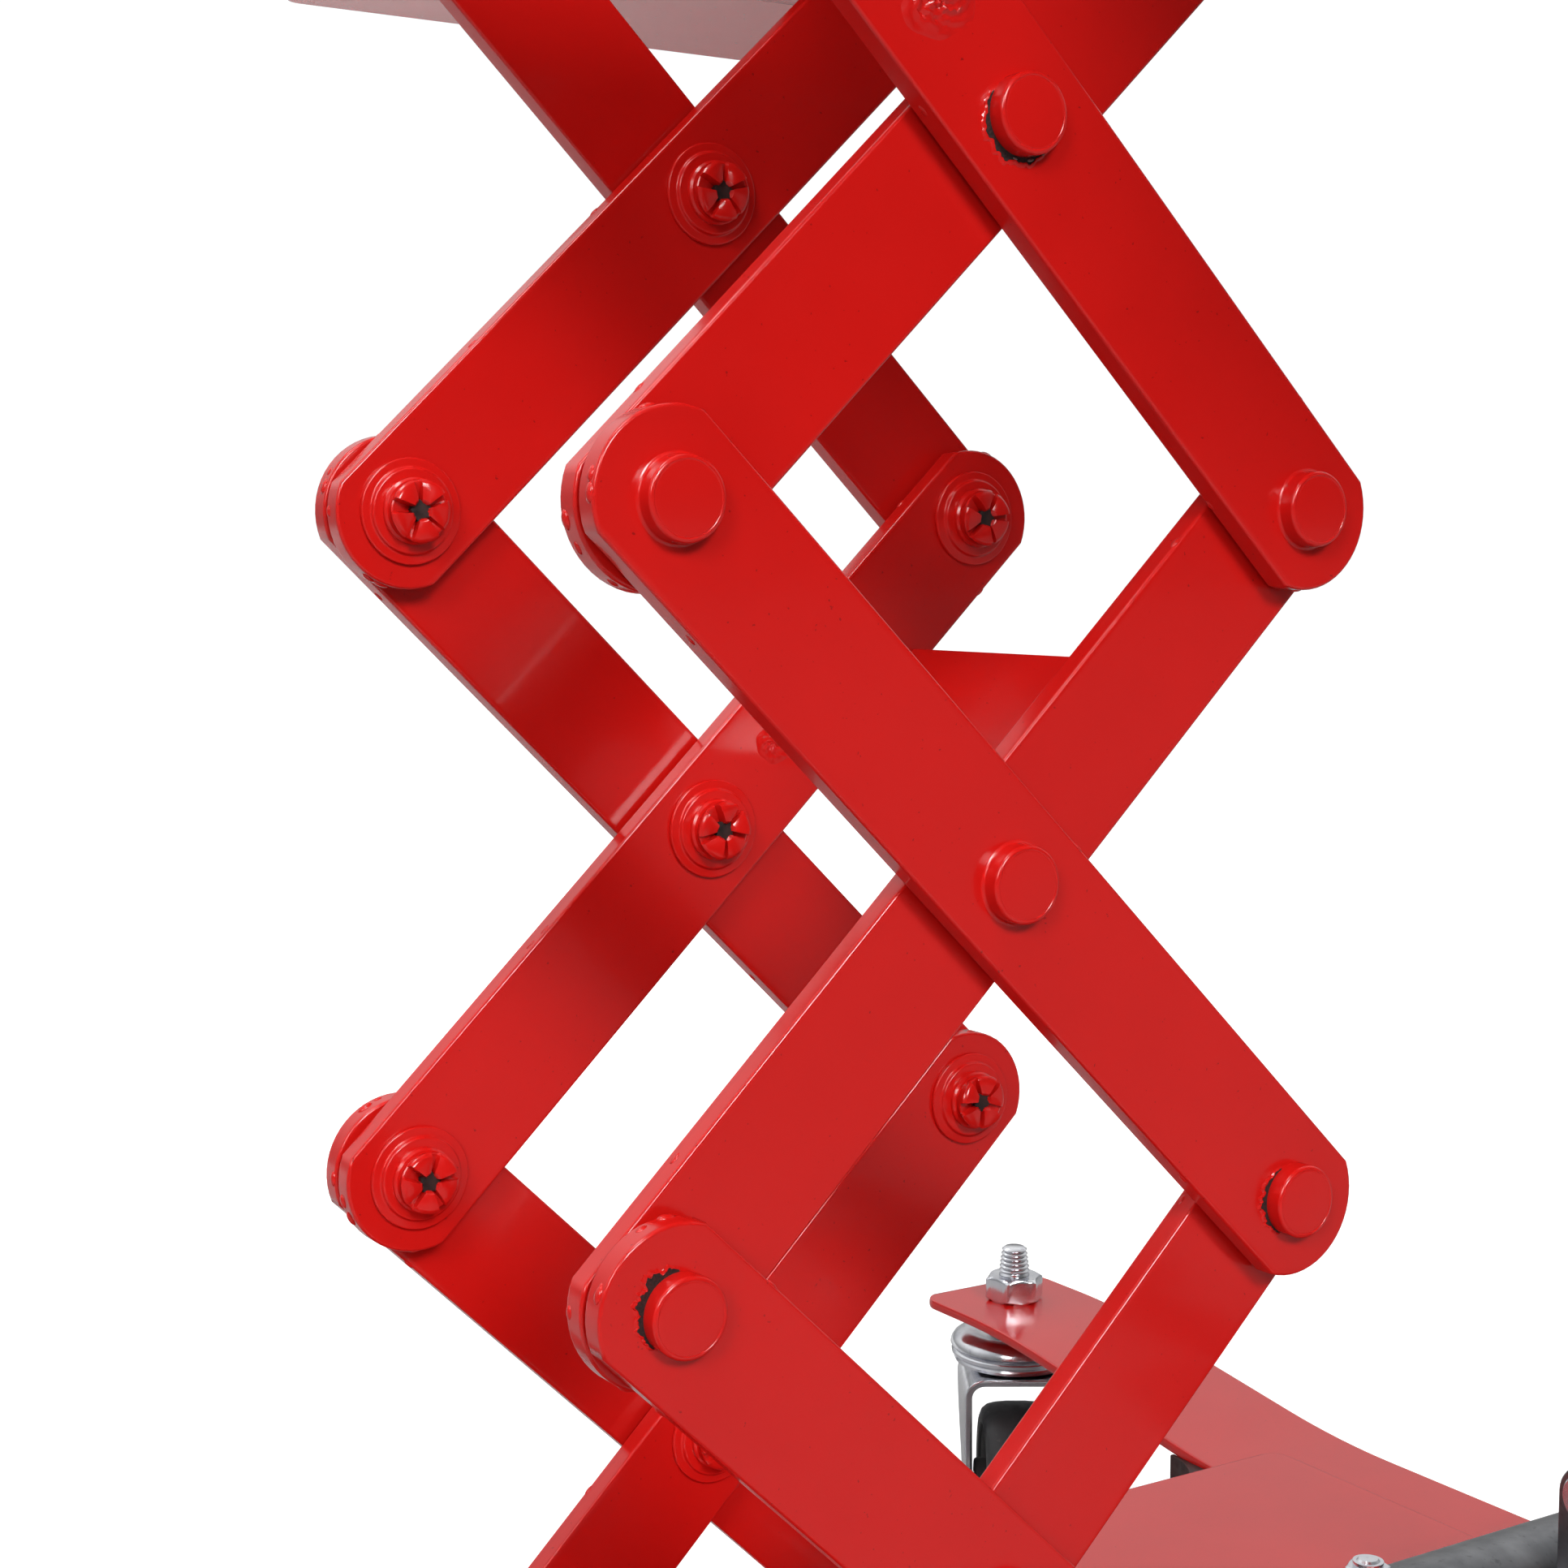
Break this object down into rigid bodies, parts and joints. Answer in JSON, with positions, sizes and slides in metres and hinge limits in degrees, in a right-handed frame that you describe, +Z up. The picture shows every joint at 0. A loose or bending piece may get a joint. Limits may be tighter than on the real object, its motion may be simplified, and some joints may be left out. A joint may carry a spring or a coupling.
{
  "type": "scissor lift jack",
  "caption": "Wheeled scissor lift jack: three crossed bar stages, wide top deck, low base on swivel casters, foot-pumped horizontal cylinder.",
  "frame": {"origin": "on the floor under the middle of the base", "axes": "+Z up, +X along the scissors from the fixed pivots to the rolling ones, +Y from the near scissors to the far ones"},
  "size_m": [0.517, 0.692, 0.5944],
  "materials": {
    "enamel": "glossy red enamel on plate steel",
    "zinc": "bright zinc plate",
    "steel": "machined steel",
    "chrome": "polished chrome",
    "tread": "black caster wheel",
    "rubber": "matt rubber pad"
  },
  "bodies": {
    "base": {"base_plate": "enamel", "cross_member_left": "enamel", "cross_member_right": "enamel", "base_lug_near": "enamel", "base_lug_far": "enamel", "cylinder_barrel": "steel", "cylinder_gland": "steel", "pump_block": "steel", "caster_stem_near_left": "zinc", "caster_stem_far_left": "zinc", "caster_stem_near_right": "zinc", "caster_stem_far_right": "zinc"},
    "lower_inner": {"lower_inner_bar_near": "enamel", "lower_inner_bar_far": "enamel"},
    "lower_outer": {"lower_outer_bar_near": "enamel", "lower_outer_bar_far": "enamel", "lower_left_pin_near": "enamel", "lower_left_pin_far": "enamel", "lower_middle_pin_near": "enamel", "lower_middle_pin_far": "enamel"},
    "mid_inner": {"mid_inner_bar_near": "enamel", "mid_inner_bar_far": "enamel", "stiffener_plate": "enamel"},
    "mid_outer": {"mid_outer_bar_near": "enamel", "mid_outer_bar_far": "enamel", "mid_left_pin_near": "enamel", "mid_left_pin_far": "enamel", "mid_middle_pin_near": "enamel", "mid_middle_pin_far": "enamel", "mid_right_pin_near": "enamel", "mid_right_pin_far": "enamel"},
    "upper_inner": {"upper_inner_bar_near": "enamel", "upper_inner_bar_far": "enamel"},
    "upper_outer": {"upper_outer_bar_near": "enamel", "upper_outer_bar_far": "enamel", "upper_middle_pin_near": "enamel", "upper_middle_pin_far": "enamel", "upper_right_pin_near": "enamel", "upper_right_pin_far": "enamel"},
    "deck": {"deck_plate": "enamel", "rail_near": "enamel", "rail_far": "enamel"},
    "crosshead": {"crosshead": "steel", "piston_rod": "chrome"},
    "base_roller_near": {"base_roller_near": "steel"},
    "base_roller_far": {"base_roller_far": "steel"},
    "top_roller_near": {"top_roller_near": "steel"},
    "top_roller_far": {"top_roller_far": "steel"},
    "pedal": {"pedal_lever": "enamel", "pedal_pad": "rubber"},
    "plunger": {"pump_plunger": "chrome"},
    "release_valve": {"release_valve": "zinc"},
    "caster_near_left": {"caster_fork_near_left": "zinc"},
    "wheel_near_left": {"caster_wheel_near_left": "tread"},
    "caster_far_left": {"caster_fork_far_left": "zinc"},
    "wheel_far_left": {"caster_wheel_far_left": "tread"},
    "caster_near_right": {"caster_fork_near_right": "zinc"},
    "wheel_near_right": {"caster_wheel_near_right": "tread"},
    "caster_far_right": {"caster_fork_far_right": "zinc"},
    "wheel_far_right": {"caster_wheel_far_right": "tread"}
  },
  "joints": [
    {"name": "lift", "type": "hinge", "parent": "base", "child": "lower_inner", "pos_m": [-0.1509, 0, 0.1077], "axis": [0, -1, 0], "range_deg": [-29.65, 20.85]},
    {"name": "lower_cross", "type": "hinge", "parent": "lower_inner", "child": "lower_outer", "pos_m": [-0.07197, 0, 0.18432], "axis": [0, -1, 0], "range_deg": [-42, 68.6]},
    {"name": "crosshead_level", "type": "hinge", "parent": "lower_outer", "child": "crosshead", "pos_m": [0.00695, 0, 0.1077], "axis": [0, -1, 0], "range_deg": [-34.4, 21.1]},
    {"name": "mid_fold", "type": "hinge", "parent": "lower_outer", "child": "mid_inner", "pos_m": [-0.1509, 0, 0.26094], "axis": [0, -1, 0], "range_deg": [-68.6, 42]},
    {"name": "mid_cross", "type": "hinge", "parent": "mid_inner", "child": "mid_outer", "pos_m": [-0.07197, 0, 0.33756], "axis": [0, -1, 0], "range_deg": [-42, 68.6]},
    {"name": "upper_fold", "type": "hinge", "parent": "mid_outer", "child": "upper_inner", "pos_m": [-0.1509, 0, 0.41418], "axis": [0, -1, 0], "range_deg": [-68.6, 42]},
    {"name": "upper_cross", "type": "hinge", "parent": "upper_inner", "child": "upper_outer", "pos_m": [-0.07197, 0, 0.4908], "axis": [0, -1, 0], "range_deg": [-42, 68.6]},
    {"name": "deck_level", "type": "hinge", "parent": "upper_outer", "child": "deck", "pos_m": [-0.1509, 0, 0.56742], "axis": [0, -1, 0], "range_deg": [-34.4, 21.1]},
    {"name": "base_roller_spin_near", "type": "hinge", "parent": "crosshead", "child": "base_roller_near", "pos_m": [0.00695, 0, 0.1077], "axis": [0, 1, 0], "continuous": true},
    {"name": "base_roller_spin_far", "type": "hinge", "parent": "crosshead", "child": "base_roller_far", "pos_m": [0.00695, 0, 0.1077], "axis": [0, 1, 0], "continuous": true},
    {"name": "top_roller_spin_near", "type": "hinge", "parent": "upper_inner", "child": "top_roller_near", "pos_m": [0.00695, 0, 0.56742], "axis": [0, 1, 0], "continuous": true},
    {"name": "top_roller_spin_far", "type": "hinge", "parent": "upper_inner", "child": "top_roller_far", "pos_m": [0.00695, 0, 0.56742], "axis": [0, 1, 0], "continuous": true},
    {"name": "pedal_press", "type": "hinge", "parent": "base", "child": "pedal", "pos_m": [0.1695, -0.027, 0.146], "axis": [1, 0, 0], "range_deg": [0, 12], "stiffness_Nm_per_rad": 20, "springref_deg": -5.73},
    {"name": "plunger_stroke", "type": "slide", "parent": "base", "child": "plunger", "axis": [0, 0, -1], "range_m": [0, 0.0068]},
    {"name": "release_turn", "type": "hinge", "parent": "base", "child": "release_valve", "pos_m": [0.1938, -0.046, 0.103], "axis": [1, 0, 0], "range_deg": [0, 180]},
    {"name": "swivel_near_left", "type": "hinge", "parent": "base", "child": "caster_near_left", "pos_m": [-0.2285, -0.32, 0.08], "axis": [0, 0, 1], "continuous": true},
    {"name": "wheel_spin_near_left", "type": "hinge", "parent": "caster_near_left", "child": "wheel_near_left", "pos_m": [-0.2179, -0.30304, 0.0315], "axis": [-0.848, 0.5299, 0], "continuous": true},
    {"name": "swivel_far_left", "type": "hinge", "parent": "base", "child": "caster_far_left", "pos_m": [-0.2285, 0.32, 0.08], "axis": [0, 0, 1], "continuous": true},
    {"name": "wheel_spin_far_left", "type": "hinge", "parent": "caster_far_left", "child": "wheel_far_left", "pos_m": [-0.2179, 0.30304, 0.0315], "axis": [0.848, 0.5299, 0], "continuous": true},
    {"name": "swivel_near_right", "type": "hinge", "parent": "base", "child": "caster_near_right", "pos_m": [0.2285, -0.32, 0.08], "axis": [0, 0, 1], "continuous": true},
    {"name": "wheel_spin_near_right", "type": "hinge", "parent": "caster_near_right", "child": "wheel_near_right", "pos_m": [0.2179, -0.30304, 0.0315], "axis": [-0.848, -0.5299, 0], "continuous": true},
    {"name": "swivel_far_right", "type": "hinge", "parent": "base", "child": "caster_far_right", "pos_m": [0.2285, 0.32, 0.08], "axis": [0, 0, 1], "continuous": true},
    {"name": "wheel_spin_far_right", "type": "hinge", "parent": "caster_far_right", "child": "wheel_far_right", "pos_m": [0.2179, 0.30304, 0.0315], "axis": [0.848, -0.5299, 0], "continuous": true}
  ],
  "couplings": [
    {"joint": "lower_cross", "follows": "lift", "ratio": -2},
    {"joint": "crosshead_level", "follows": "lift", "ratio": 1},
    {"joint": "mid_fold", "follows": "lift", "ratio": 2},
    {"joint": "mid_cross", "follows": "lift", "ratio": -2},
    {"joint": "upper_fold", "follows": "lift", "ratio": 2},
    {"joint": "upper_cross", "follows": "lift", "ratio": -2},
    {"joint": "deck_level", "follows": "lift", "ratio": 1},
    {"joint": "plunger_stroke", "follows": "pedal_press", "m_per_rad": 0.0315}
  ]
}
